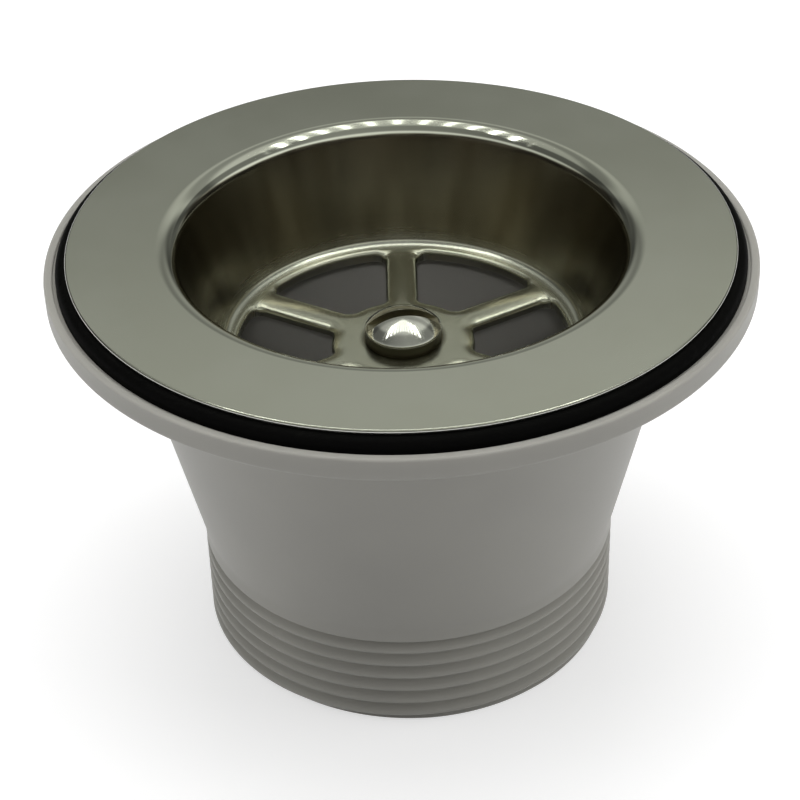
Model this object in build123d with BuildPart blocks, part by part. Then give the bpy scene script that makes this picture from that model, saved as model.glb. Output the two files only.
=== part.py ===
import os
from math import cos, radians, tan

from build123d import *

os.makedirs("parts", exist_ok=True)

# Driving dimensions in millimetres. Z points up along the axis, and the tail stands on Z = 0
overall_height = 62.0

# Strainer flange, pressed from one sheet of stainless steel
sheet = 0.7
flange_diameter = 90.0
flange_edge_round = 0.3
mouth_diameter = 61.7
mouth_roll = 3.0
well_depth = 17.0
floor_bend = 1.3

# Grate in the floor of the well, its openings pierced and their edges turned down
spoke_count = 6
first_spoke_angle = 30.0
spoke_width = 4.6
hub_diameter = 20.0
grate_diameter = 46.4
grate_ring_width = 1.8
opening_corner = 1.6
lip_depth = 1.8
lip_roll = 0.7

# Rubber gasket between the flange and the body
gasket_diameter = 92.8
gasket_width = 7.9
gasket_thickness = 1.8
gasket_round = 1.1
gasket_play = 0.4

# Moulded body: rim, funnel and tail
rim_thickness = 2.9
rim_round = 0.7
rim_root_round = 2.0
rim_lip_width = 1.2
rim_lip_height = 0.4
rim_lip_round = 0.35
body_wall = 3.0
funnel_taper = 12.5
tail_length = 17.0
tail_diameter = 59.614
tail_chamfer = 0.8
tail_blend = 6.0
outlet_diameter = 52.0

# G2 pipe thread on the tail, cut as rings a pitch apart that end below the funnel
thread_pitch = 2.309
thread_angle = 55.0
thread_depth = 1.2
thread_root_width = 0.45
thread_overshoot = 0.25
first_groove_level = 2.72
thread_end_gap = 1.6

# Spider inside the body, which carries the boss for the clamp screw
rib_count = 4
rib_thickness = 2.6
rib_height = 12.0
boss_base = 16.0
boss_diameter = 14.0
boss_height = 16.0

# Brass insert moulded into the boss
insert_diameter = 9.0
insert_length = 12.0
insert_groove_width = 3.0
insert_groove_depth = 0.5
insert_fit = 0.02

# Clamp screw, M6 with a slotted domed head
screw_diameter = 6.0
screw_length = 30.0
screw_thread_play = 0.05
screw_hole_play = 0.3
screw_tip_chamfer = 0.8
head_diameter = 10.6
head_side = 1.8
head_dome = 2.3
slot_width = 1.6
slot_depth = 1.9
slot_angle = 8.0

# How near an edge has to lie to a level to be chosen there
level_tolerance = 0.01

# Levels and radii that follow from the driving dimensions
flange_top = overall_height
flange_radius = flange_diameter / 2
mouth_radius = mouth_diameter / 2
floor_level = flange_top - well_depth
grate_radius = grate_diameter / 2
floor_radius = grate_radius + grate_ring_width
lip_base = floor_level - lip_depth
gasket_top = flange_top - sheet
gasket_radius = gasket_diameter / 2
gasket_bore_radius = gasket_radius - gasket_width
seat_level = gasket_top - gasket_thickness
rim_lip_inside = gasket_radius + gasket_play
rim_radius = rim_lip_inside + rim_lip_width
rim_base = seat_level - rim_thickness
tail_radius = tail_diameter / 2
outlet_radius = outlet_diameter / 2
thread_turns = 1 + int((tail_length - thread_end_gap - first_groove_level) / thread_pitch)
groove_levels = [first_groove_level + turn * thread_pitch for turn in range(thread_turns)]
wall_across = body_wall / cos(radians(funnel_taper))
boss_top = boss_base + boss_height
insert_base = boss_top - insert_length
screw_radius = screw_diameter / 2
screw_hole_radius = screw_radius + screw_hole_play
thread_hole_radius = screw_radius + screw_thread_play
head_radius = head_diameter / 2
head_top = floor_level + head_side + head_dome
dome_radius = (head_radius**2 + head_dome**2) / (2 * head_dome)


def edges_at(builder, level):
    """Edges of a part that lie at a level."""
    return builder.edges().filter_by_position(Axis.Z, level - level_tolerance, level + level_tolerance)


def funnel_radius(level):
    """Outside radius of the funnel at a level."""
    return tail_radius + (level - tail_length) * tan(radians(funnel_taper))


def funnel_bore_radius(level):
    """Inside radius of the funnel at a level."""
    return funnel_radius(level) - wall_across


def draw_grate_openings(sketch, margin):
    """Draw the openings between hub, spokes and ring, grown outward by the margin."""
    Circle(grate_radius + margin)
    Circle(hub_diameter / 2 - margin, mode=Mode.SUBTRACT)
    with PolarLocations(grate_radius / 2, spoke_count, start_angle=first_spoke_angle):
        Rectangle(grate_radius + 2 * margin, spoke_width - 2 * margin, mode=Mode.SUBTRACT)
    fillet(sketch.vertices(), opening_corner + margin)


def draw_insert_half(margin):
    """Draw half the section of the grooved insert, grown outward by the margin."""
    outer = insert_diameter / 2 + margin
    waist = outer - insert_groove_depth
    groove_middle = insert_base + insert_length / 2
    groove_low = groove_middle - insert_groove_width / 2 + margin
    groove_high = groove_middle + insert_groove_width / 2 - margin
    Polygon(
        (0, insert_base),
        (outer, insert_base),
        (outer, groove_low),
        (waist, groove_low),
        (waist, groove_high),
        (outer, groove_high),
        (outer, boss_top),
        (0, boss_top),
        align=None,
    )


# Strainer flange: flat flange, rolled mouth, tapered well and flat floor in one sheet
with BuildPart() as strainer_flange:
    with BuildSketch(Plane.XZ):
        with BuildLine():
            FilletPolyline(
                (flange_radius, flange_top),
                (mouth_radius, flange_top),
                (floor_radius, floor_level),
                (screw_hole_radius, floor_level),
                radius=[mouth_roll, floor_bend],
            )
            offset(amount=sheet, side=Side.LEFT)
        make_face()
    revolve(axis=Axis.Z)
    fillet(edges_at(strainer_flange, flange_top).sort_by(SortBy.LENGTH)[-1], flange_edge_round)
    with BuildSketch(Plane.XY.offset(lip_base)) as lip_outline:
        draw_grate_openings(lip_outline, sheet)
    extrude(amount=lip_depth - sheet / 2)
    with BuildSketch(Plane.XY.offset(lip_base)) as opening_outline:
        draw_grate_openings(opening_outline, 0)
    extrude(amount=2 * lip_depth, mode=Mode.SUBTRACT)
    opening_edges = edges_at(strainer_flange, floor_level).filter_by(lambda edge: not edge.is_closed)
    fillet(opening_edges, lip_roll)
strainer_flange.part.label = "strainer_flange"

# Gasket: a flat ring whose outer edge bulges past the flange
with BuildPart() as rim_gasket:
    with BuildSketch(Plane.XZ):
        with BuildLine():
            FilletPolyline(
                (gasket_bore_radius, seat_level),
                (gasket_radius, seat_level),
                (gasket_radius, gasket_top),
                (gasket_bore_radius, gasket_top),
                radius=[0, 0, gasket_round, 0],
                close=True,
            )
        make_face()
    revolve(axis=Axis.Z)
rim_gasket.part.label = "rim_gasket"

# Body: rim with its raised lip, funnel and threaded tail, with the spider and boss inside
with BuildPart() as waste_body:
    lip_top = seat_level + rim_lip_height
    outlet_end = tail_length - (funnel_bore_radius(tail_length) - outlet_radius) / tan(radians(funnel_taper))
    with BuildSketch(Plane.XZ):
        with BuildLine():
            FilletPolyline(
                (outlet_radius, 0),
                (tail_radius, 0),
                (tail_radius, tail_length),
                (funnel_radius(rim_base), rim_base),
                (rim_radius, rim_base),
                (rim_radius, lip_top),
                (rim_lip_inside, lip_top),
                (rim_lip_inside, seat_level),
                (funnel_bore_radius(seat_level), seat_level),
                (outlet_radius, outlet_end),
                radius=[0, 0, tail_blend, rim_root_round, rim_round, rim_lip_round, 0, 0, 0, 0],
                close=True,
            )
        make_face()
    revolve(axis=Axis.Z)
    chamfer(edges_at(waste_body, 0).sort_by(SortBy.LENGTH)[-1], tail_chamfer)
    half_root = thread_root_width / 2
    half_mouth = half_root + (thread_depth + thread_overshoot) * tan(radians(thread_angle / 2))
    with BuildSketch(Plane.XZ):
        with Locations(*[(tail_radius, level) for level in groove_levels]):
            Polygon(
                (-thread_depth, -half_root),
                (thread_overshoot, -half_mouth),
                (thread_overshoot, half_mouth),
                (-thread_depth, half_root),
                align=None,
            )
    revolve(axis=Axis.Z, mode=Mode.SUBTRACT)
    rib_top = boss_base + rib_height
    for rib in range(rib_count):
        with BuildSketch(Plane.XZ.rotated((0, 0, 360 / rib_count * rib))):
            with BuildLine():
                Polyline(
                    (0, boss_base),
                    (funnel_radius(boss_base) - wall_across / 2, boss_base),
                    (funnel_radius(rib_top) - wall_across / 2, rib_top),
                    (0, rib_top),
                    close=True,
                )
            make_face()
        extrude(amount=rib_thickness / 2, both=True)
    with BuildSketch(Plane.XY.offset(boss_base)):
        Circle(boss_diameter / 2)
    extrude(amount=boss_height)
    with BuildSketch(Plane.XZ):
        draw_insert_half(insert_fit)
    revolve(axis=Axis.Z, mode=Mode.SUBTRACT)
    with BuildSketch(Plane.XY.offset(boss_base)):
        Circle(screw_hole_radius)
    extrude(amount=boss_height, mode=Mode.SUBTRACT)
waste_body.part.label = "waste_body"

# Insert: a brass bush held in the boss by its groove
with BuildPart() as threaded_insert:
    with BuildSketch(Plane.XZ):
        draw_insert_half(0)
    revolve(axis=Axis.Z)
    with BuildSketch(Plane.XY.offset(insert_base)):
        Circle(thread_hole_radius)
    extrude(amount=insert_length, mode=Mode.SUBTRACT)
threaded_insert.part.label = "threaded_insert"

# Clamp screw: domed head on the hub, plain shank of the thread's outside size
with BuildPart() as clamp_screw:
    with BuildSketch(Plane.XZ):
        with BuildLine():
            RadiusArc((head_radius, floor_level + head_side), (0, head_top), -dome_radius)
            Polyline(
                (0, head_top),
                (0, floor_level - screw_length),
                (screw_radius, floor_level - screw_length),
                (screw_radius, floor_level),
                (head_radius, floor_level),
                (head_radius, floor_level + head_side),
            )
        make_face()
    revolve(axis=Axis.Z)
    tip_edges = clamp_screw.edges().group_by(Axis.Z)[0]
    chamfer(tip_edges, screw_tip_chamfer)
    with BuildSketch(Plane.XY.offset(head_top).rotated((0, 0, slot_angle))):
        Rectangle(2 * head_diameter, slot_width)
    extrude(amount=-slot_depth, mode=Mode.SUBTRACT)
clamp_screw.part.label = "clamp_screw"

export_step(strainer_flange.part, "parts/strainer_flange.step")
export_step(rim_gasket.part, "parts/rim_gasket.step")
export_step(waste_body.part, "parts/waste_body.step")
export_step(threaded_insert.part, "parts/threaded_insert.step")
export_step(clamp_screw.part, "parts/clamp_screw.step")
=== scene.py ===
"""Sink waste: polished strainer flange, rubber gasket, grey threaded body and clamp screw.

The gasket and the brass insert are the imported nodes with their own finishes. Geometry Nodes turn the body,
the screw and the strainer's flange and well from their sections, cut the threads, and set the strainer's
openings round its hub.
"""

from itertools import product
from math import asin, atan2, ceil, cos, pi, radians, sin, tan

import bmesh
import bpy
from mathutils import Matrix, Vector


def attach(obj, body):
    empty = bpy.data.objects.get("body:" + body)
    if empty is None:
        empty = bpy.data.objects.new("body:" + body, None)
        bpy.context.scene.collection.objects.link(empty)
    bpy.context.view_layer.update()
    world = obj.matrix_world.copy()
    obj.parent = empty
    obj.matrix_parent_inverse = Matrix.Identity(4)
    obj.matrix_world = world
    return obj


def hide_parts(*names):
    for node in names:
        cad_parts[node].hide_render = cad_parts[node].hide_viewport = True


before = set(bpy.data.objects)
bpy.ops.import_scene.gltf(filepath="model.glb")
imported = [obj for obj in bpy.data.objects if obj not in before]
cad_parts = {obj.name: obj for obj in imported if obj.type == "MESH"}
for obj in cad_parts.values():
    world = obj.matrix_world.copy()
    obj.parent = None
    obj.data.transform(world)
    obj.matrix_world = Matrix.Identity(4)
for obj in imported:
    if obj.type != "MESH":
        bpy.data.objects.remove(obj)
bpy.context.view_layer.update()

MM = 0.001

# Levels and sizes of the waste in millimetres, upward from the end of the tail
FLANGE_TOP = 62.0
FLANGE_RADIUS = 45.0
FLANGE_EDGE_ROUND = 0.3
FLANGE_UNDER_EDGE_ROUND = 0.12
SHEET = 0.7
MOUTH_RADIUS = 30.85
MOUTH_ROLL = 3.0
FLOOR_LEVEL = 45.0
FLOOR_RADIUS = 25.0
FLOOR_BEND = 1.3

# Grate in the floor of the strainer's well
SPOKE_COUNT = 6
SPOKE_WIDTH = 4.6
HUB_RADIUS = 10.0
GRATE_RADIUS = 23.2
GRATE_SEAM = 24.0
OPENING_CORNER = 1.6
LIP_DEPTH = 1.8
LIP_ROLL = 0.7
LIP_END_ROUND = 0.2
CROWN_WIDTH = 1.5
CROWN_SLOPE = radians(18.0)
CROWN_SHARE = 0.7

# Rim, funnel and tail of the moulded body
GASKET_SEAT = 59.5
RIM_BASE = 56.6
RIM_RADIUS = 48.0
RIM_LIP_TOP = 59.9
RIM_LIP_WIDTH = 1.2
BODY_WALL = 3.0
FUNNEL_TAPER = radians(12.5)
TAIL_LENGTH = 17.0
TAIL_RADIUS = 29.807
TAIL_CHAMFER = 0.8
OUTLET_RADIUS = 26.0

# Roundings of the body's section
TAIL_BLEND = 6.0
RIM_ROOT_ROUND = 2.0
RIM_ROUND = 0.7
RIM_LIP_ROUND = 0.35
RIM_LIP_INSIDE_ROUND = 0.25

# Spider inside the body
RIB_COUNT = 4
RIB_THICKNESS = 2.6
RIB_HEIGHT = 12.0
BOSS_BASE = 16.0
BOSS_TOP = 32.0
BOSS_RADIUS = 7.0
SCREW_HOLE_RADIUS = 3.3
POCKET_RADIUS = 4.52
POCKET_WAIST = 4.02
POCKET_BASE = 20.0
POCKET_GROOVE = (24.52, 27.48)

# G2 pipe thread on the tail: 11 turns to the inch, with rounded crests
TAIL_THREAD_PITCH = 2.309
TAIL_THREAD_DEPTH = 1.2
TAIL_THREAD_CREST = 1.57
TAIL_THREAD_TOP = 15.2
TAIL_THREAD_RUN_OUT = 0.9

# Clamp screw, M6 with a slotted dome head
SCREW_TIP = 15.0
SCREW_RADIUS = 3.0
SCREW_TIP_CHAMFER = 0.8
SCREW_THREAD_PITCH = 1.0
SCREW_THREAD_DEPTH = 0.6
SCREW_THREAD_TOP = 42.0
SCREW_THREAD_RUN_OUT = 1.0
HEAD_BASE = 45.0
HEAD_SIDE = 1.8
HEAD_DOME = 2.3
HEAD_RADIUS = 5.3
HEAD_EDGE_ROUND = 0.25
SLOT_WIDTH = 1.6
SLOT_DEPTH = 1.9
SLOT_ANGLE = radians(8.0)

# How finely the pieces are divided
STRAINER_SEGMENTS = 288
BODY_SEGMENTS = 288
SCREW_SEGMENTS = 96
THREAD_STEPS = 16
ROUND_STEP = radians(6.0)
OUTLINE_STEP = radians(1.25)
CROWN_STEPS = 6
ROLL_STEPS = 8
DOME_STEPS = 40
DOME_STEPS_IN_EDGE = 4
MERGE_DISTANCE = 1e-6
SHARP_ANGLE = radians(32.0)

# Radius, pitch, depth and crest of a thread for a piece that has none
UNTHREADED = (1.0, 1.0, 0.0, 0.0)

# Faces of a box whose eight corners run through low and high along X, then Y, then Z
BOX_FACES = ((0, 1, 3, 2), (4, 6, 7, 5), (0, 4, 5, 1), (2, 3, 7, 6), (0, 2, 6, 4), (1, 5, 7, 3))

# Bands of the strainer's finish, each as the radii in metres between which it sets in or fades
WALL_SETS_IN = (0.0248, 0.0258)
WALL_FADES = (0.0301, 0.0306)
MOUTH_SETS_IN = (0.0298, 0.0306)
MOUTH_FADES = (0.0322, 0.0334)
RING_SETS_IN = (0.0222, 0.0230)
RING_FADES = (0.0256, 0.0262)
GRATE_FADES = (0.0235, 0.0245)
# Painted shadow: the seat band is a dark ring on the hub just round the screw head
SEAT_SHADE_FADES = (0.0053, 0.0063)

# Drawing marks, which run down the wall because they vary more round it than along it
LEAST_RADIUS = 1e-6
MARKS_ACROSS = 0.05
MARKS_ALONG = 0.35

# Painted shade on the screw, in its slot and round the side of its head: distances from the slot's middle and
# levels in metres where it sets in or fades
SLOT_SHADE_FADES = (0.00082, 0.00088)
SLOT_SHADE_SETS_IN = (0.0470, 0.0472)
SIDE_SHADE_SETS_IN = (0.0446, 0.0450)
SIDE_SHADE_FADES = (0.0464, 0.0469)


class Wire:
    """An output in a node tree that Python's operators work on."""

    def __init__(self, graph, socket):
        self.graph = graph
        self.socket = socket

    def maths(self, operation, *values):
        """A Math node on the given values and wires."""
        return self.graph.node("ShaderNodeMath", {"operation": operation}, dict(enumerate(values)))

    def __add__(self, other):
        return self.maths("ADD", self, other)

    def __radd__(self, other):
        return self.maths("ADD", other, self)

    def __sub__(self, other):
        return self.maths("SUBTRACT", self, other)

    def __rsub__(self, other):
        return self.maths("SUBTRACT", other, self)

    def __mul__(self, other):
        return self.maths("MULTIPLY", self, other)

    def __rmul__(self, other):
        return self.maths("MULTIPLY", other, self)

    def __truediv__(self, other):
        return self.maths("DIVIDE", self, other)

    def __rtruediv__(self, other):
        return self.maths("DIVIDE", other, self)

    def __mod__(self, other):
        return self.maths("FLOORED_MODULO", self, other)

    def floor(self):
        return self.maths("FLOOR", self)

    def cosine(self):
        return self.maths("COSINE", self)

    def sine(self):
        return self.maths("SINE", self)

    def root(self):
        return self.maths("SQRT", self)

    def absolute(self):
        return self.maths("ABSOLUTE", self)

    def arcsine(self):
        return self.maths("ARCSINE", self)

    def arctangent(self, other):
        """The angle whose tangent is this value over the other."""
        return self.maths("ARCTAN2", self, other)

    def at_least(self, other):
        return self.maths("MAXIMUM", self, other)

    def above(self, other):
        return self.maths("GREATER_THAN", self, other)

    def ease(self, low, high, start=0.0, end=1.0):
        """A smooth step from start to end as this value goes from low to high."""
        return self.graph.node(
            "ShaderNodeMapRange",
            {"interpolation_type": "SMOOTHSTEP"},
            {"Value": self, "From Min": low, "From Max": high, "To Min": start, "To Max": end},
        )

    def fade(self, low, high):
        """A smooth step from 1 down to 0 as this value goes from low to high."""
        return 1.0 - self.ease(low, high)

    def band(self, sets_in, fades):
        """A smooth band between two steps, each given by its low and high end."""
        return self.ease(*sets_in) * self.fade(*fades)

    def near_zero(self, reach):
        """1 where this value lies within about the reach from zero, with a soft edge."""
        return (self * self).fade(0.5 * reach**2, 1.5 * reach**2)


class Graph:
    """A node tree with one way to add a node."""

    def __init__(self, tree):
        self.tree = tree
        self.tree.nodes.clear()

    def node(self, kind, settings=None, inputs=None, output=0):
        """Add a node, set its settings, then its sockets' values or links, and give one of its outputs."""
        made = self.tree.nodes.new(kind)
        for name, value in (settings or {}).items():
            setattr(made, name, value)
        for name, value in (inputs or {}).items():
            if isinstance(value, Wire):
                self.tree.links.new(value.socket, made.inputs[name])
            else:
                made.inputs[name].default_value = value
        return Wire(self, made.outputs[output]) if made.outputs else None

    def parts(self, vector):
        """The three numbers of a vector."""
        split = self.node("ShaderNodeSeparateXYZ", {}, {"Vector": vector}).socket.node
        return [Wire(self, socket) for socket in split.outputs]

    def vector(self, x, y, z):
        return self.node("ShaderNodeCombineXYZ", {}, {"X": x, "Y": y, "Z": z})


class Finish(Graph):
    """A material that is built from the piece's own coordinates."""

    def __init__(self, name):
        self.material = bpy.data.materials.new(name)
        self.material.use_nodes = True
        super().__init__(self.material.node_tree)
        self.place = self.node("ShaderNodeTexCoord", output="Object")

    def noise(self, scale, detail=2.0, roughness=0.5, place=None):
        return self.node(
            "ShaderNodeTexNoise",
            {},
            {"Vector": place or self.place, "Scale": scale, "Detail": detail, "Roughness": roughness},
        )

    def lines(self, along, scale):
        """Fine lines at uneven distances along a value."""
        return self.node(
            "ShaderNodeTexNoise", {"noise_dimensions": "1D"}, {"W": along, "Scale": scale, "Detail": 3.0}
        )

    def mixed(self, mask, first, second):
        """A colour that goes from the first to the second with the mask, where both vary."""
        return self.node("ShaderNodeMix", {"data_type": "RGBA"}, {0: mask, 6: first, 7: second}, output=2)

    def colour(self, mask, first, second):
        """A colour that goes from the first to the second with the mask."""
        return self.mixed(mask, (*first, 1.0), (*second, 1.0))

    def bump(self, height, distance, strength=1.0, under=None):
        inputs = {"Height": height, "Distance": distance, "Strength": strength}
        if under:
            inputs["Normal"] = under
        return self.node("ShaderNodeBump", {}, inputs)

    def surface(self, **sockets):
        """Finish with a Principled shader whose sockets are named with underscores for spaces."""
        inputs = {name.replace("_", " "): value for name, value in sockets.items()}
        shader = self.node("ShaderNodeBsdfPrincipled", {}, inputs)
        self.node("ShaderNodeOutputMaterial", {}, {"Surface": shader})
        return self.material


def pressed_steel():
    """Polished stainless sheet: polishing rings, drawing marks and painted shade down the well, a worn grate,
    painted shadow round the screw.
    """
    finish = Finish("pressed_steel_polished")
    x, y, z = finish.parts(finish.place)
    radius = (x * x + y * y).root()
    wall = radius.band(WALL_SETS_IN, WALL_FADES)
    mouth = radius.band(MOUTH_SETS_IN, MOUTH_FADES)
    ring = radius.band(RING_SETS_IN, RING_FADES)
    grate = radius.fade(*GRATE_FADES)
    # Painted shadow on the hub round the screw head
    painted_shade = radius.fade(*SEAT_SHADE_FADES)

    blotches = finish.noise(scale=70.0, detail=3.0)
    rings = finish.lines(radius, scale=5000.0)
    waves = finish.noise(scale=110.0, detail=1.0, roughness=0.4)
    across = radius.at_least(LEAST_RADIUS) / MARKS_ACROSS
    down_the_wall = finish.vector(x / across, y / across, z * MARKS_ALONG)
    drawing_marks = finish.noise(scale=150.0, detail=1.0, place=down_the_wall)

    patches, marked = blotches.ease(0.3, 0.7), drawing_marks.ease(0.3, 0.7)
    polished = finish.colour(patches, (0.54, 0.545, 0.5), (0.57, 0.575, 0.535))
    # Painted shade: the well's wall gets a much darker olive steel than the flange, with the drawing marks as
    # two tones in it
    drawn_and_shaded = finish.colour(marked, (0.22, 0.2, 0.145), (0.32, 0.3, 0.235))
    worn = finish.colour(patches, (0.47, 0.47, 0.4), (0.51, 0.51, 0.45))
    # The hub round the screw head is painted dark as its shadow
    floor = finish.mixed(painted_shade, worn, (0.1, 0.09, 0.06, 1.0))
    polish = blotches * 0.06 + rings * 0.04 + 0.12

    normal = finish.bump(rings, distance=2e-6, strength=0.25)
    normal = finish.bump((drawing_marks - 0.5) * wall, distance=5e-5, strength=0.5, under=normal)
    normal = finish.bump((waves - 0.5) * wall, distance=2e-4, strength=0.4, under=normal)
    return finish.surface(
        Base_Color=finish.mixed(grate, finish.mixed(wall, polished, drawn_and_shaded), floor),
        Metallic=1.0,
        Roughness=polish * (1.0 - mouth * 0.55) + wall * 0.06 + grate * 0.06 + ring * 0.05,
        Normal=normal,
    )


def gasket_rubber():
    """Black rubber with a fine matt skin and a few paler specks of dust."""
    finish = Finish("gasket_rubber_matt")
    skin = finish.noise(scale=2600.0)
    dust = finish.noise(scale=420.0, detail=3.0).ease(0.62, 0.80)
    return finish.surface(
        Base_Color=finish.colour(dust, (0.0016, 0.0016, 0.0016), (0.004, 0.004, 0.0036)),
        Roughness=skin * 0.2 + 0.55,
        Specular_IOR_Level=0.05,
        Normal=finish.bump(skin, distance=3e-5, strength=0.4),
    )


def body_plastic():
    """Grey moulded plastic: satin skin with a fine grain and soft flow clouds."""
    finish = Finish("body_plastic_satin")
    clouds = finish.noise(scale=38.0)
    grain = finish.noise(scale=3200.0)
    return finish.surface(
        Base_Color=finish.colour(clouds.ease(0.3, 0.7), (0.32, 0.313, 0.286), (0.35, 0.342, 0.312)),
        Roughness=clouds * 0.1 + grain * 0.08 + 0.36,
        Normal=finish.bump(grain, distance=1.2e-5, strength=0.5),
        Subsurface_Weight=0.3,
        Subsurface_Scale=0.004,
        Subsurface_Radius=(1.0, 1.0, 1.0),
    )


def insert_brass():
    """Turned brass with the lines of the tool round it."""
    finish = Finish("insert_brass_turned")
    level = finish.parts(finish.place)[2]
    tool_lines = finish.lines(level, scale=9000.0)
    tarnish = finish.noise(scale=300.0, detail=3.0)
    return finish.surface(
        Base_Color=finish.colour(tarnish.ease(0.35, 0.75), (0.72, 0.52, 0.22), (0.6, 0.41, 0.16)),
        Metallic=1.0,
        Roughness=tarnish * 0.12 + tool_lines * 0.1 + 0.2,
        Normal=finish.bump(tool_lines, distance=1e-5, strength=0.5),
    )


def screw_steel():
    """Bright steel with faint turning rings on the head, and painted shade in its slot and round its side."""
    finish = Finish("screw_steel_bright")
    x, y, level = finish.parts(finish.place)
    turning_rings = finish.lines((x * x + y * y).root(), scale=12000.0)
    handling = finish.noise(scale=500.0, detail=3.0)
    from_slot = (y * cos(SLOT_ANGLE) - x * sin(SLOT_ANGLE)).absolute()
    # Painted shade: the slot and the side of the head are painted dark as if in shade
    slot = from_slot.fade(*SLOT_SHADE_FADES) * level.ease(*SLOT_SHADE_SETS_IN)
    painted_shade = slot.at_least(level.band(SIDE_SHADE_SETS_IN, SIDE_SHADE_FADES))
    bright = finish.colour(handling.ease(0.3, 0.7), (0.62, 0.62, 0.61), (0.69, 0.69, 0.67))
    painted_shade_colour = finish.colour(slot, (0.075, 0.07, 0.05), (0.32, 0.3, 0.23))
    return finish.surface(
        Base_Color=finish.mixed(painted_shade, bright, painted_shade_colour),
        Metallic=1.0,
        Roughness=handling * 0.06 + turning_rings * 0.04 + painted_shade * 0.25 + 0.06,
        Normal=finish.bump(turning_rings, distance=2e-6, strength=0.3),
    )


class ShapeGraph(Graph):
    """A Geometry Nodes tree with named inputs, which shapes one piece at a time."""

    KINDS = {int: "NodeSocketInt", float: "NodeSocketFloat", bpy.types.Material: "NodeSocketMaterial"}

    def __init__(self, name, inputs):
        super().__init__(bpy.data.node_groups.new(name, "GeometryNodeTree"))
        self.tree.is_modifier = True
        sockets = self.tree.interface
        sockets.new_socket("Geometry", in_out="INPUT", socket_type="NodeSocketGeometry")
        sockets.new_socket("Geometry", in_out="OUTPUT", socket_type="NodeSocketGeometry")
        self.identifiers = {}
        for label, kind in inputs.items():
            socket = sockets.new_socket(label, in_out="INPUT", socket_type=self.KINDS[kind])
            self.identifiers[label] = socket.identifier
        self.given = self.tree.nodes.new("NodeGroupInput")

    def input(self, label):
        return Wire(self, self.given.outputs[label])

    def round_axis(self, shape):
        """A shape set evenly round the axis, as often as the tree's count says."""
        count = self.input("Count")
        stations = self.node("GeometryNodePoints", {}, {"Count": count})
        turn = self.node("GeometryNodeInputIndex") / count * (2 * pi)
        return self.node(
            "GeometryNodeInstanceOnPoints",
            {},
            {"Points": stations, "Instance": shape, "Rotation": self.vector(0.0, 0.0, turn)},
        )

    def merged(self, geometry):
        """Geometry whose points are joined where they meet."""
        inputs = {"Geometry": geometry, "Distance": MERGE_DISTANCE}
        return self.node("GeometryNodeMergeByDistance", {}, inputs)

    def finish(self, geometry):
        """End the tree with real geometry in the piece's material."""
        real = self.node("GeometryNodeRealizeInstances", {}, {"Geometry": geometry})
        dressed = {"Geometry": real, "Material": self.input("Material")}
        shown = self.node("GeometryNodeSetMaterial", {}, dressed)
        self.node("NodeGroupOutput", {}, {"Geometry": shown})

    def shape(self, name, mesh, values):
        """A new object whose mesh is shaped by the tree with these values of its inputs."""
        piece = bpy.data.objects.new(name, mesh)
        bpy.context.scene.collection.objects.link(piece)
        modifier = piece.modifiers.new("shape", "NODES")
        modifier.node_group = self.tree
        for label, value in values.items():
            modifier[self.identifiers[label]] = value
        return make_plain(piece)


def make_plain(piece):
    """Turn a piece's modifiers into its own mesh."""
    shaped = bpy.data.meshes.new_from_object(piece.evaluated_get(bpy.context.evaluated_depsgraph_get()))
    piece.modifiers.clear()
    piece.data = shaped
    return piece


def turned_section_tree():
    """A tree that turns a section about the axis and cuts a right-hand thread where it is threaded."""
    graph = ShapeGraph(
        "turned_section",
        {
            "Segments": int,
            "Closed": int,
            "Thread Radius": float,
            "Thread Pitch": float,
            "Thread Depth": float,
            "Thread Crest": float,
            "Material": bpy.types.Material,
        },
    )
    section = graph.input("Geometry")
    points = graph.node("GeometryNodeAttributeDomainSize", {}, {"Geometry": section}, output="Point Count")
    rows = points + graph.input("Closed")
    segments = graph.input("Segments")
    sheet = graph.node("GeometryNodeMeshGrid", {}, {"Vertices X": segments + 1, "Vertices Y": rows})
    index = graph.node("GeometryNodeInputIndex")
    column = (index / rows).floor()
    row = index - column * rows
    point = row % points

    def sampled(kind, value):
        return graph.node(
            "GeometryNodeSampleIndex",
            {"data_type": kind, "domain": "POINT"},
            {"Geometry": section, "Value": value, "Index": point},
        )

    section_place = graph.parts(sampled("FLOAT_VECTOR", graph.node("GeometryNodeInputPosition")))
    radius, level = section_place[0], section_place[2]
    threaded = sampled("FLOAT", graph.node("GeometryNodeInputNamedAttribute", {}, {"Name": "threaded"}))
    turn = column / segments
    quarter_turn = 0.25
    from_front = turn + quarter_turn
    phase = (level - graph.input("Thread Crest")) / graph.input("Thread Pitch") - from_front
    groove = graph.input("Thread Depth") * (0.5 - 0.5 * (phase * (2 * pi)).cosine())
    cut = (radius - (graph.input("Thread Radius") - groove)).at_least(0.0) * threaded
    angle = turn * (2 * pi)
    cut_radius = radius - cut
    placed = graph.node(
        "GeometryNodeSetPosition",
        {},
        {
            "Geometry": sheet,
            "Position": graph.vector(cut_radius * angle.cosine(), cut_radius * angle.sine(), level),
        },
    )
    graph.finish(graph.merged(placed))
    return graph


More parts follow.
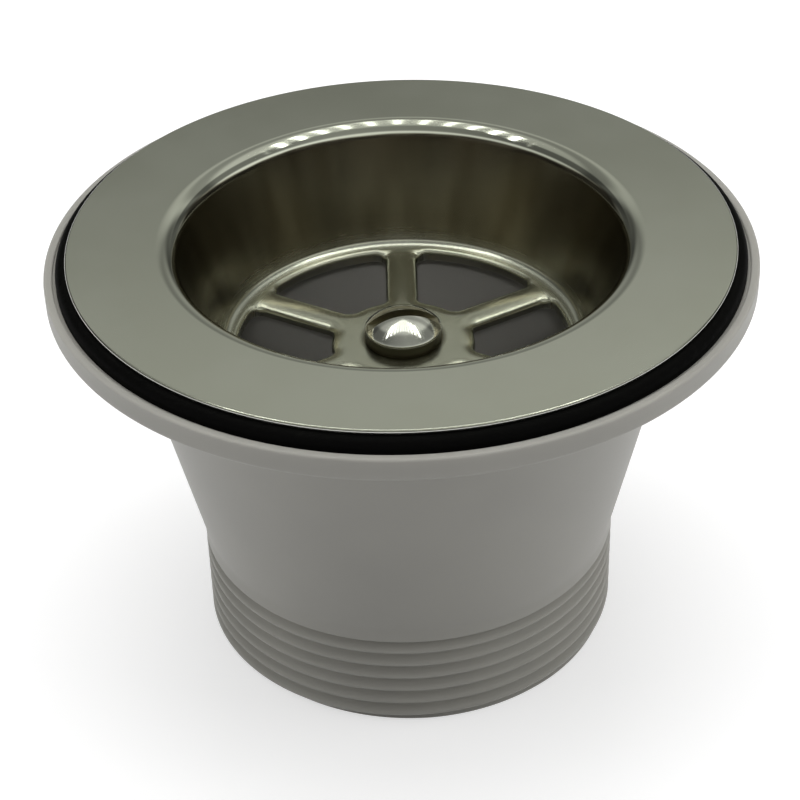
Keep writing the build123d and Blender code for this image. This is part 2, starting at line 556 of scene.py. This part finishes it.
def spider_tree():
    """A tree that sets ribs round the axis, each reaching from the boss into the funnel's wall."""
    graph = ShapeGraph(
        "spider_ribs",
        {
            "Count": int,
            "Thickness": float,
            "Base": float,
            "Top": float,
            "Inner Radius": float,
            "Outer Radius At Base": float,
            "Outer Radius At Top": float,
            "Material": bpy.types.Material,
        },
    )
    block = graph.node("GeometryNodeMeshCube", {}, {"Size": (2.0, 1.0, 2.0)})
    x, y, z = graph.parts(graph.node("GeometryNodeInputPosition"))
    upper, outer = z.above(0.0), x.above(0.0)
    base, inner = graph.input("Base"), graph.input("Inner Radius")
    low_reach, high_reach = graph.input("Outer Radius At Base"), graph.input("Outer Radius At Top")
    reach = low_reach + upper * (high_reach - low_reach)
    rib = graph.node(
        "GeometryNodeSetPosition",
        {},
        {
            "Geometry": block,
            "Position": graph.vector(
                inner + outer * (reach - inner),
                y * graph.input("Thickness"),
                base + upper * (graph.input("Top") - base),
            ),
        },
    )
    graph.finish(graph.round_axis(rib))
    return graph


def hub_pattern_tree():
    """A tree that sets one sector round the axis as often as it is counted, and joins the sectors."""
    graph = ShapeGraph("sectors_round_hub", {"Count": int, "Material": bpy.types.Material})
    sectors = graph.round_axis(graph.input("Geometry"))
    graph.finish(graph.merged(graph.node("GeometryNodeRealizeInstances", {}, {"Geometry": sectors})))
    return graph


def rounded(corners, closed):
    """Points of a section whose corners are given as radius, level and rounding, in millimetres."""
    points = []
    last = len(corners) - 1
    for number, (radius, level, rounding) in enumerate(corners):
        corner = Vector((radius, level))
        if not rounding or (not closed and number in (0, last)):
            points.append(corner)
            continue
        back = (Vector(corners[number - 1][:2]) - corner).normalized()
        ahead = (Vector(corners[(number + 1) % len(corners)][:2]) - corner).normalized()
        half = back.angle(ahead) / 2
        centre = corner + (back + ahead).normalized() * (rounding / sin(half))
        start = corner + back * (rounding / tan(half)) - centre
        end = corner + ahead * (rounding / tan(half)) - centre
        sweep = pi - 2 * half
        steps = max(2, ceil(sweep / ROUND_STEP))
        for step in range(steps + 1):
            share = step / steps
            points.append(centre + (start * sin((1 - share) * sweep) + end * sin(share * sweep)) / sin(sweep))
    return points


def levels_between(low, high, step):
    """Even levels from low to high, no further apart than the step."""
    count = ceil((high - low) / step)
    return [low + (high - low) * number / count for number in range(count + 1)]


def section_mesh(name, points, thread_top=None, run_out=1.0):
    """A section as a mesh of points, each threaded in full below the top and running out at it."""
    mesh = bpy.data.meshes.new(name)
    mesh.from_pydata([(radius * MM, 0.0, level * MM) for radius, level in points], [], [])
    threaded = mesh.attributes.new("threaded", "FLOAT", "POINT")
    for item, (radius, level) in zip(threaded.data, points):
        share = 0.0 if thread_top is None else (thread_top - level) / run_out
        item.value = min(1.0, max(0.0, share))
    return mesh


def funnel_radius(level):
    """Outside radius of the funnel at a level."""
    return TAIL_RADIUS + (level - TAIL_LENGTH) * tan(FUNNEL_TAPER)


def funnel_bore_radius(level):
    """Inside radius of the funnel at a level."""
    return funnel_radius(level) - BODY_WALL / cos(FUNNEL_TAPER)


def smooth(piece):
    """Shade a piece smooth apart from its sharp edges, with its flat faces left flat."""
    piece.data.shade_smooth()
    piece.data.set_sharp_from_angle(angle=SHARP_ANGLE)
    modifier = piece.modifiers.new("flat_faces", "WEIGHTED_NORMAL")
    modifier.keep_sharp = True
    make_plain(piece)


def combine(piece, other, operation):
    """Join another closed shape to a piece, or cut it from the piece."""
    modifier = piece.modifiers.new(operation.lower(), "BOOLEAN")
    modifier.operation = operation
    modifier.object = other
    modifier.solver = "MANIFOLD"
    make_plain(piece)
    bpy.data.objects.remove(other)


def arc(centre, radius, start, end, into_metal=1):
    """Points along an arc, each with the direction there from the opening into the metal."""
    steps = ceil(abs(end - start) / (OUTLINE_STEP if radius > OPENING_CORNER else ROUND_STEP))
    points = []
    for step in range(steps + 1):
        angle = start + (end - start) * step / steps
        outward = Vector((cos(angle), sin(angle)))
        points.append((centre + outward * radius, outward * into_metal))
    return points


def opening_outline():
    """Outline of the opening on the X axis, with the direction into the metal at each point."""
    half_sector = pi / SPOKE_COUNT
    corner_offset = SPOKE_WIDTH / 2 + OPENING_CORNER
    outer_reach, inner_reach = GRATE_RADIUS - OPENING_CORNER, HUB_RADIUS + OPENING_CORNER
    outer_angle = half_sector - asin(corner_offset / outer_reach)
    inner_angle = half_sector - asin(corner_offset / inner_reach)
    spoke_side = half_sector + pi / 2
    axis = Vector((0.0, 0.0))
    outer_corner = Vector((cos(outer_angle), sin(outer_angle))) * outer_reach
    inner_corner = Vector((cos(inner_angle), sin(inner_angle))) * inner_reach
    half = [
        *arc(axis, GRATE_RADIUS, 0.0, outer_angle)[:-1],
        *arc(outer_corner, OPENING_CORNER, outer_angle, spoke_side),
        *arc(inner_corner, OPENING_CORNER, spoke_side, pi + inner_angle)[:-1],
        *arc(axis, HUB_RADIUS, inner_angle, 0.0, -1),
    ]
    mirrored = [(Vector((x, -y)), Vector((along, -across))) for (x, y), (along, across) in half[-2:0:-1]]
    return half + mirrored


def crown_width(point, into_metal):
    """How far the crowned edge reaches past the roll: in full on a spoke or the hub, less on the ring."""
    inward = point.dot(into_metal)
    to_seam = (inward**2 + GRATE_SEAM**2 - point.length_squared) ** 0.5 - inward
    return min(CROWN_WIDTH, CROWN_SHARE * (to_seam - LIP_ROLL))


def lip_section(width):
    """Section of a lip, as depth into the metal and level: crowned, rolled over, down and round its end."""
    slope = CROWN_SLOPE * width / CROWN_WIDTH
    falls = [width * step / CROWN_STEPS for step in range(CROWN_STEPS)]
    roll_top = FLOOR_LEVEL - tan(slope) * width / 2
    roll = LIP_ROLL / (1 - sin(slope))
    turns = [slope + step / ROLL_STEPS * (pi / 2 - slope) for step in range(ROLL_STEPS + 1)]
    end = FLOOR_LEVEL - LIP_DEPTH
    return [
        *[(LIP_ROLL + width - fall, FLOOR_LEVEL - tan(slope) * fall**2 / (2 * width)) for fall in falls],
        *[(roll * (1 - sin(turn)), roll_top - roll * (cos(slope) - cos(turn))) for turn in turns],
        (0.0, end + LIP_END_ROUND),
        (LIP_END_ROUND, end),
        (SHEET - LIP_END_ROUND, end),
        (SHEET, end + LIP_END_ROUND),
        (SHEET, FLOOR_LEVEL - SHEET),
    ]


def fill_between(shape, outer, inner):
    """Fill the flat ground between two closed loops of vertices."""
    edges = []
    for loop in (outer, inner):
        for first, second in zip(loop, loop[1:] + loop[:1]):
            edges.append(shape.edges.get((first, second)) or shape.edges.new((first, second)))
    bmesh.ops.triangle_fill(shape, use_beauty=True, edges=edges)


def grate_sector():
    """One sector of the grate, from mid spoke to mid spoke, with an opening and its lip."""
    shape = bmesh.new()
    lip = []
    for point, into_metal in opening_outline():
        column = []
        for depth, level in lip_section(crown_width(point, into_metal)):
            x, y = (point + into_metal * depth) * MM
            column.append(shape.verts.new((x, y, level * MM)))
        lip.append(column)
    for column, following in zip(lip, lip[1:] + lip[:1]):
        for row in range(len(column) - 1):
            shape.faces.new((column[row], column[row + 1], following[row + 1], following[row]))
    half_sector = pi / SPOKE_COUNT
    steps = STRAINER_SEGMENTS // SPOKE_COUNT
    directions = []
    for step in range(steps + 1):
        angle = half_sector * (2 * step / steps - 1)
        directions.append((cos(angle), sin(angle)))
    hole_walls = []
    for row, level in ((0, FLOOR_LEVEL), (-1, FLOOR_LEVEL - SHEET)):
        ring, hole = [
            [shape.verts.new(Vector((radius * x, radius * y, level)) * MM) for x, y in directions]
            for radius in (GRATE_SEAM, SCREW_HOLE_RADIUS)
        ]
        fill_between(shape, ring + hole[::-1], [column[row] for column in lip])
        hole_walls.append(hole)
    upper, lower = hole_walls
    for step in range(steps):
        shape.faces.new((upper[step], upper[step + 1], lower[step + 1], lower[step]))
    mesh = bpy.data.meshes.new("grate_sector")
    shape.to_mesh(mesh)
    shape.free()
    return mesh


def turned_piece(turning, name, section, segments, closed, material, thread=UNTHREADED):
    """A piece turned from a section, its thread given as radius, pitch, depth and the level of a crest."""
    radius, pitch, depth, crest = thread
    return turning.shape(
        name,
        section,
        {
            "Segments": segments,
            "Closed": int(closed),
            "Thread Radius": radius * MM,
            "Thread Pitch": pitch * MM,
            "Thread Depth": depth * MM,
            "Thread Crest": crest * MM,
            "Material": material,
        },
    )


def plain_object(name, points, faces, material):
    """A new object with one material, from its points and faces."""
    mesh = bpy.data.meshes.new(name)
    mesh.from_pydata(points, [], faces)
    mesh.materials.append(material)
    made = bpy.data.objects.new(name, mesh)
    bpy.context.scene.collection.objects.link(made)
    return made


def make_strainer(turning, hub_pattern, steel):
    """Strainer of one sheet: flange, rolled mouth and well turned from a section, and the grate."""
    lean = atan2(MOUTH_RADIUS - FLOOR_RADIUS, FLANGE_TOP - FLOOR_LEVEL)
    flange_under, floor_under = FLANGE_TOP - SHEET, FLOOR_LEVEL - SHEET

    def outside_of_wall(level):
        return FLOOR_RADIUS + (level - FLOOR_LEVEL) * tan(lean) + SHEET / cos(lean)

    corners = [
        (GRATE_SEAM, floor_under, 0),
        (outside_of_wall(floor_under), floor_under, FLOOR_BEND + SHEET),
        (outside_of_wall(flange_under), flange_under, MOUTH_ROLL - SHEET),
        (FLANGE_RADIUS, flange_under, FLANGE_UNDER_EDGE_ROUND),
        (FLANGE_RADIUS, FLANGE_TOP, FLANGE_EDGE_ROUND),
        (MOUTH_RADIUS, FLANGE_TOP, MOUTH_ROLL),
        (FLOOR_RADIUS, FLOOR_LEVEL, FLOOR_BEND),
        (GRATE_SEAM, FLOOR_LEVEL, 0),
    ]
    section = section_mesh("strainer_section", rounded(corners, False))
    strainer = turned_piece(turning, "strainer_flange_polished", section, STRAINER_SEGMENTS, False, steel)
    grate = hub_pattern.shape("grate", grate_sector(), {"Count": SPOKE_COUNT, "Material": steel})
    shape = bmesh.new()
    shape.from_mesh(strainer.data)
    shape.from_mesh(grate.data)
    bmesh.ops.remove_doubles(shape, verts=shape.verts, dist=MERGE_DISTANCE)
    bmesh.ops.recalc_face_normals(shape, faces=shape.faces)
    shape.to_mesh(strainer.data)
    shape.free()
    bpy.data.objects.remove(grate)
    smooth(strainer)
    return strainer


def make_body(turning, spider, plastic):
    """Moulded body: rim, funnel and threaded tail, with the boss on its ribs inside."""
    thread_step = TAIL_THREAD_PITCH / THREAD_STEPS
    tail_top = TAIL_LENGTH - TAIL_BLEND * tan(FUNNEL_TAPER / 2) - thread_step
    tail_levels = levels_between(TAIL_CHAMFER, tail_top, thread_step)
    chamfer_levels = levels_between(0.0, TAIL_CHAMFER, thread_step)[:-1]
    bore_end = TAIL_LENGTH - (funnel_bore_radius(TAIL_LENGTH) - OUTLET_RADIUS) / tan(FUNNEL_TAPER)
    lip_inside = RIM_RADIUS - RIM_LIP_WIDTH
    corners = [
        (OUTLET_RADIUS, 0.0, 0),
        *[(TAIL_RADIUS - TAIL_CHAMFER + level, level, 0) for level in chamfer_levels],
        *[(TAIL_RADIUS, level, 0) for level in tail_levels],
        (TAIL_RADIUS, TAIL_LENGTH, TAIL_BLEND),
        (funnel_radius(RIM_BASE), RIM_BASE, RIM_ROOT_ROUND),
        (RIM_RADIUS, RIM_BASE, RIM_ROUND),
        (RIM_RADIUS, RIM_LIP_TOP, RIM_LIP_ROUND),
        (lip_inside, RIM_LIP_TOP, RIM_LIP_INSIDE_ROUND),
        (lip_inside, GASKET_SEAT, 0),
        (funnel_bore_radius(GASKET_SEAT), GASKET_SEAT, 0),
        (OUTLET_RADIUS, bore_end, 0),
    ]
    section = section_mesh("body_section", rounded(corners, True), TAIL_THREAD_TOP, TAIL_THREAD_RUN_OUT)
    thread = (TAIL_RADIUS, TAIL_THREAD_PITCH, TAIL_THREAD_DEPTH, TAIL_THREAD_CREST)
    body = turned_piece(turning, "waste_body_threaded", section, BODY_SEGMENTS, True, plastic, thread)
    groove_base, groove_top = POCKET_GROOVE
    boss_corners = [
        (SCREW_HOLE_RADIUS, BOSS_BASE),
        (BOSS_RADIUS, BOSS_BASE),
        (BOSS_RADIUS, BOSS_TOP),
        (POCKET_RADIUS, BOSS_TOP),
        (POCKET_RADIUS, groove_top),
        (POCKET_WAIST, groove_top),
        (POCKET_WAIST, groove_base),
        (POCKET_RADIUS, groove_base),
        (POCKET_RADIUS, POCKET_BASE),
        (SCREW_HOLE_RADIUS, POCKET_BASE),
    ]
    boss_section = section_mesh("boss_section", boss_corners)
    boss = turned_piece(turning, "boss", boss_section, SCREW_SEGMENTS, True, plastic)
    rib_top = BOSS_BASE + RIB_HEIGHT
    half_wall = BODY_WALL / cos(FUNNEL_TAPER) / 2
    ribs = spider.shape(
        "ribs",
        bpy.data.meshes.new("rib_start"),
        {
            "Count": RIB_COUNT,
            "Thickness": RIB_THICKNESS * MM,
            "Base": BOSS_BASE * MM,
            "Top": rib_top * MM,
            "Inner Radius": (POCKET_RADIUS + BOSS_RADIUS) / 2 * MM,
            "Outer Radius At Base": (funnel_radius(BOSS_BASE) - half_wall) * MM,
            "Outer Radius At Top": (funnel_radius(rib_top) - half_wall) * MM,
            "Material": plastic,
        },
    )
    combine(boss, ribs, "UNION")
    combine(body, boss, "UNION")
    smooth(body)
    return body


def make_screw(turning, steel):
    """Clamp screw: dome head with a slot, on a shank with an M6 thread."""
    thread_step = SCREW_THREAD_PITCH / THREAD_STEPS
    shank_levels = levels_between(SCREW_TIP + SCREW_TIP_CHAMFER, SCREW_THREAD_TOP, thread_step)
    head_shoulder = HEAD_BASE + HEAD_SIDE
    head_top = head_shoulder + HEAD_DOME
    dome_radius = (HEAD_RADIUS**2 + HEAD_DOME**2) / (2 * HEAD_DOME)
    dome_centre = head_top - dome_radius
    rises = levels_between(0.0, HEAD_DOME, HEAD_DOME / DOME_STEPS)[DOME_STEPS_IN_EDGE:-1]
    dome_levels = [head_shoulder + rise for rise in rises]
    corners = [
        (0.0, SCREW_TIP, 0),
        (SCREW_RADIUS - SCREW_TIP_CHAMFER, SCREW_TIP, 0),
        *[(SCREW_RADIUS, level, 0) for level in shank_levels],
        (SCREW_RADIUS, HEAD_BASE, 0),
        (HEAD_RADIUS, HEAD_BASE, 0),
        (HEAD_RADIUS, head_shoulder, HEAD_EDGE_ROUND),
        *[((dome_radius**2 - (level - dome_centre) ** 2) ** 0.5, level, 0) for level in dome_levels],
        (0.0, head_top, 0),
    ]
    section = section_mesh("screw_section", rounded(corners, False), SCREW_THREAD_TOP, SCREW_THREAD_RUN_OUT)
    thread = (SCREW_RADIUS, SCREW_THREAD_PITCH, SCREW_THREAD_DEPTH, SCREW_TIP)
    screw = turned_piece(turning, "clamp_screw_threaded", section, SCREW_SEGMENTS, False, steel, thread)
    turn = Matrix.Rotation(SLOT_ANGLE, 4, "Z")
    slot_corners = []
    for along, across, up in product((-1, 1), repeat=3):
        corner = Vector((along * 2 * HEAD_RADIUS, across * SLOT_WIDTH / 2, head_top + up * SLOT_DEPTH))
        slot_corners.append(turn @ corner * MM)
    combine(screw, plain_object("slot_cutter", slot_corners, BOX_FACES, steel), "DIFFERENCE")
    smooth(screw)
    return screw


# Studio: directions are seen from the flange's middle, with azimuth 0 behind the waste and 180 at the camera
DEGREES = 180 / pi
ROOM_RADIUS = 1.6
ROOM_STEP = radians(5.0)
ROOM_LOWEST = radians(-2.0)
WORLD_FILL = 0.45
FLOOR_SIZE = 6.0
FLOOR_DROP = 0.0001
FLOOR_PAPER = 0.6
FLOOR_GLOW = 0.55
FLOOR_RETURN = 0.45

# Steps of light from the room's back over its top to its front, as two angles in degrees and their levels
WALL_LIGHT = (25.0, 38.0, 0.24, 0.57)
WALL_FOOT_LIGHT = (10.0, 25.0, 0.12, 0.0)
COVE_SHADE = (38.0, 46.0, 0.0, 0.25)
CEILING_LIGHT = (52.0, 62.0, 0.0, 0.3)
RIGHT_SIDE_GAIN = 0.4

# Bands of the room, placed by the tilt and turn of a small mirror that shows them to the camera, in degrees
MIRROR_VIEW = radians(28.0)
GAP_SETS_IN = (33.0, 38.0)
GAP_FADES = (48.0, 52.0)
GAP_DEPTH = (10.0, 40.0, 0.5, 0.7)
FLANK_TURN = (55.0, 100.0)
FLANK_TILT = (15.0, 30.0)
FLANK_DEPTH = 0.8
STRIP_SETS_IN = (51.0, 53.0)
STRIP_FADES = (55.0, 57.0)
STRIP_TURN_FADES = (30.0, 75.0)
STRIP_GLOW = 0.4

# Arc of small lamps overhead, placed in the same way, with brighter ones toward its ends
LAMP_PERIOD = 5.95
LAMP_SHARE = 0.13
LAMP_ARC_HALF = 34.5
LAMP_ARC_EDGE = 1.0
LAMP_TILT = 23.0
LAMP_TILT_RISE = 0.012
LAMP_HALF_TILT = 8.0
LAMP_GLOW = (12.0, 30.0, 3.8, 9.0)

# Dim part of the room, in front and low down
DIM_PATCH_SCALE = 2.5
DIM_PATCH_LEVELS = (0.3, 0.7, 0.03, 0.13)
DIM_TURN_FADES = (25.0, 55.0, 1.0, 0.3)
DIM_TILT = (56.5, 59.5)
LIT_ELEVATION = (14.0, 26.0)
LIT_BACK_GAIN = (0.5, 0.8, 0.0, 20.0)
LIT_TINT = (0.97, 1.0, 0.87)
DIM_TINT = (1.0, 0.92, 0.7)

# Lamps that light rubber and plastic: name, azimuth and elevation in degrees, width in metres, power in watts
LAMP_DISTANCE = 1.2
SOFT_LAMPS = (
    ("top_lamp", 0, 82, 0.9, 8.0),
    ("left_lamp", -90, 12, 0.8, 3.8),
    ("right_lamp", 90, 12, 0.8, 5.5),
)

# Narrow lamp aimed into the well
WELL_LAMP_AZIMUTH = 180
WELL_LAMP_ELEVATION = 35
WELL_LAMP_POWER = 12.0
WELL_LAMP_RADIUS = 0.03
WELL_LAMP_CONE = radians(3.1)
WELL_LAMP_BLEND = 0.15


def toward(azimuth, elevation):
    """Direction with the azimuth measured clockwise from behind the waste."""
    return Vector((sin(azimuth) * cos(elevation), cos(azimuth) * cos(elevation), sin(elevation)))


def room_paint():
    """What the metal sees round it: a grey wall behind, an arc of lamps overhead, and a dim front."""
    finish = Finish("room_paint")
    x, y, z = finish.parts(finish.place)
    across, behind, height = x / ROOM_RADIUS, y / ROOM_RADIUS, (z - FLANGE_TOP * MM) / ROOM_RADIUS
    elevation = height.arcsine() * DEGREES
    over = height.arctangent(behind) * DEGREES
    forward, upward = cos(MIRROR_VIEW) - behind, height + sin(MIRROR_VIEW)
    lean = (across * across + forward * forward).root()
    tilt = lean.arctangent(upward) * DEGREES
    turn = across.arctangent(forward) * DEGREES
    aside = turn.absolute()

    wall = over.ease(*WALL_LIGHT) + over.ease(*WALL_FOOT_LIGHT) - over.ease(*COVE_SHADE)
    wall_and_ceiling = (wall + over.ease(*CEILING_LIGHT)) * (across * RIGHT_SIDE_GAIN + 1.0)
    gap = tilt.band(GAP_SETS_IN, GAP_FADES) * aside.ease(*GAP_DEPTH)
    flank = aside.ease(*FLANK_TURN) * tilt.ease(*FLANK_TILT) * FLANK_DEPTH
    strip = tilt.band(STRIP_SETS_IN, STRIP_FADES) * aside.fade(*STRIP_TURN_FADES)
    overhead = wall_and_ceiling * (1.0 - gap.at_least(flank)) + strip * STRIP_GLOW

    from_lamp = (turn / LAMP_PERIOD + 0.5) % 1.0 - 0.5
    from_arc = tilt - (turn * turn * LAMP_TILT_RISE + LAMP_TILT)
    lamp = from_lamp.near_zero(LAMP_SHARE) * from_arc.near_zero(LAMP_HALF_TILT)
    within = aside.fade(LAMP_ARC_HALF - LAMP_ARC_EDGE, LAMP_ARC_HALF + LAMP_ARC_EDGE)
    lit = overhead + lamp * within * aside.ease(*LAMP_GLOW)

    dim = finish.noise(scale=DIM_PATCH_SCALE).ease(*DIM_PATCH_LEVELS) * aside.ease(*DIM_TURN_FADES)
    clear_of_floor = (elevation + behind.ease(*LIT_BACK_GAIN)).ease(*LIT_ELEVATION)
    unlit = tilt.ease(*DIM_TILT).at_least(1.0 - clear_of_floor)
    level = lit + unlit * (dim - lit)
    tint = finish.colour(unlit, LIT_TINT, DIM_TINT)
    colour = finish.node("ShaderNodeVectorMath", {"operation": "SCALE"}, {"Vector": tint, "Scale": level})
    glow = finish.node("ShaderNodeEmission", {}, {"Color": colour})
    finish.node("ShaderNodeOutputMaterial", {}, {"Surface": glow})
    return finish.material


def build_room():
    """A dome round the waste that only reflections see."""
    azimuths = levels_between(0.0, 2 * pi, ROOM_STEP)
    elevations = levels_between(ROOM_LOWEST, pi / 2, ROOM_STEP)
    centre = Vector((0.0, 0.0, FLANGE_TOP * MM))
    points = []
    for azimuth, elevation in product(azimuths, elevations):
        points.append(centre + toward(azimuth, elevation) * ROOM_RADIUS)
    rows = len(elevations)
    faces = []
    for column, row in product(range(len(azimuths) - 1), range(rows - 1)):
        corner = column * rows + row
        faces.append((corner, corner + 1, corner + rows + 1, corner + rows))
    room = plain_object("room", points, faces, room_paint())
    room.visible_camera = False
    room.visible_diffuse = False
    room.visible_transmission = False
    room.visible_shadow = False


def seen_directly(graph):
    """1 for rays from the camera and those that metal or glass sends on, 0 for rays that only light."""
    path = graph.node("ShaderNodeLightPath").socket.node
    names = ("Is Camera Ray", "Is Glossy Ray", "Is Transmission Ray")
    camera, glossy, transmission = [Wire(graph, path.outputs[name]) for name in names]
    return camera.at_least(glossy).at_least(transmission)


def light_world():
    """A white surround to look at, with a lower level to light by."""
    world = bpy.data.worlds.new("studio")
    bpy.context.scene.world = world
    world.use_nodes = True
    graph = Graph(world.node_tree)
    level = seen_directly(graph).ease(0.0, 1.0, WORLD_FILL, 1.0)
    shader = graph.node("ShaderNodeBackground", {}, {"Color": (1.0, 1.0, 1.0, 1.0), "Strength": level})
    graph.node("ShaderNodeOutputWorld", {}, {"Surface": shader})


def grey(level):
    """A grey colour of the given level."""
    return (level, level, level, 1.0)


def lay_floor():
    """A pale floor that looks white, keeps the shadow, and throws little light back up."""
    finish = Finish("floor_paper")
    seen = seen_directly(finish)
    paper = finish.node("ShaderNodeBsdfDiffuse", {}, {"Color": grey(FLOOR_PAPER)})
    glow = finish.node("ShaderNodeEmission", {}, {"Color": grey(1.0), "Strength": FLOOR_GLOW})
    bright = finish.node("ShaderNodeAddShader", {}, {0: paper, 1: glow})
    dim = finish.node("ShaderNodeBsdfDiffuse", {}, {"Color": grey(FLOOR_RETURN)})
    shown = finish.node("ShaderNodeMixShader", {}, {0: seen, 1: dim, 2: bright})
    finish.node("ShaderNodeOutputMaterial", {}, {"Surface": shown})
    half = FLOOR_SIZE / 2
    corners = [(x, y, -FLOOR_DROP) for x, y in ((-half, -half), (half, -half), (half, half), (-half, half))]
    floor = plain_object("floor", corners, [(0, 1, 2, 3)], finish.material)


def place_lamp(data, level, azimuth, elevation):
    """Set up a lamp, unseen in reflections, that faces the waste's axis at a level."""
    lamp = bpy.data.objects.new(data.name, data)
    direction = toward(radians(azimuth), radians(elevation))
    lamp.location = Vector((0.0, 0.0, level * MM)) + direction * LAMP_DISTANCE
    lamp.rotation_euler = (-direction).to_track_quat("-Z", "Y").to_euler()
    lamp.visible_glossy = False
    bpy.context.scene.collection.objects.link(lamp)


def soft_lamp(name, azimuth, elevation, width, power):
    """A soft lamp that faces the waste."""
    data = bpy.data.lights.new(name, "AREA")
    data.shape = "SQUARE"
    data.size = width
    data.energy = power
    place_lamp(data, FLANGE_TOP / 2, azimuth, elevation)


def well_lamp():
    """A narrow soft lamp aimed into the well, which lights the inside of the body through the grate."""
    data = bpy.data.lights.new("well_lamp", "SPOT")
    data.energy = WELL_LAMP_POWER
    data.shadow_soft_size = WELL_LAMP_RADIUS
    data.spot_size = WELL_LAMP_CONE
    data.spot_blend = WELL_LAMP_BLEND
    place_lamp(data, FLANGE_TOP, WELL_LAMP_AZIMUTH, WELL_LAMP_ELEVATION)


# Camera, fitted to the flange, rim and tail in the photograph
CAMERA_LENS = 94.5
CAMERA_SENSOR = 36.0
CAMERA_NEAR = 0.01
CAMERA_DISTANCE = 283.3
CAMERA_ELEVATION = radians(30.9835)
CAMERA_YAW = radians(-0.1416)
CAMERA_PITCH = radians(-4.5675)
CAMERA_ROLL = radians(-1.642)


def turned(first, second, angle):
    """Two axes, turned by an angle from the first towards the second."""
    return first * cos(angle) + second * sin(angle), second * cos(angle) - first * sin(angle)


def set_camera():
    """Camera at the photograph's viewpoint."""
    place = Vector((0.0, -cos(CAMERA_ELEVATION), sin(CAMERA_ELEVATION))) * CAMERA_DISTANCE
    forward = -place.normalized()
    right = Vector((1.0, 0.0, 0.0))
    up = right.cross(forward)
    forward, right = turned(forward, right, CAMERA_YAW)
    forward, up = turned(forward, up, CAMERA_PITCH)
    right, up = turned(right, up, CAMERA_ROLL)
    data = bpy.data.cameras.new("camera")
    data.lens = CAMERA_LENS
    data.sensor_width = CAMERA_SENSOR
    data.clip_start = CAMERA_NEAR
    camera = bpy.data.objects.new("camera", data)
    turn = Matrix((right, up, -forward)).transposed()
    camera.matrix_world = Matrix.Translation((place + Vector((0.0, 0.0, FLANGE_TOP))) * MM) @ turn.to_4x4()
    bpy.context.scene.collection.objects.link(camera)
    bpy.context.scene.camera = camera


set_camera()
bpy.context.scene.view_settings.view_transform = "Standard"

for node, finished in (("rim_gasket", gasket_rubber()), ("threaded_insert", insert_brass())):
    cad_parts[node].data.materials[0] = finished

turning = turned_section_tree()
for piece, node, slot in (
    (make_strainer(turning, hub_pattern_tree(), pressed_steel()), "strainer_flange", "pressed_steel"),
    (make_body(turning, spider_tree(), body_plastic()), "waste_body", "body_plastic"),
    (make_screw(turning, screw_steel()), "clamp_screw", "screw_steel"),
):
    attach(piece, "root")
    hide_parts(node)

light_world()
lay_floor()
build_room()
for settings in SOFT_LAMPS:
    soft_lamp(*settings)
well_lamp()
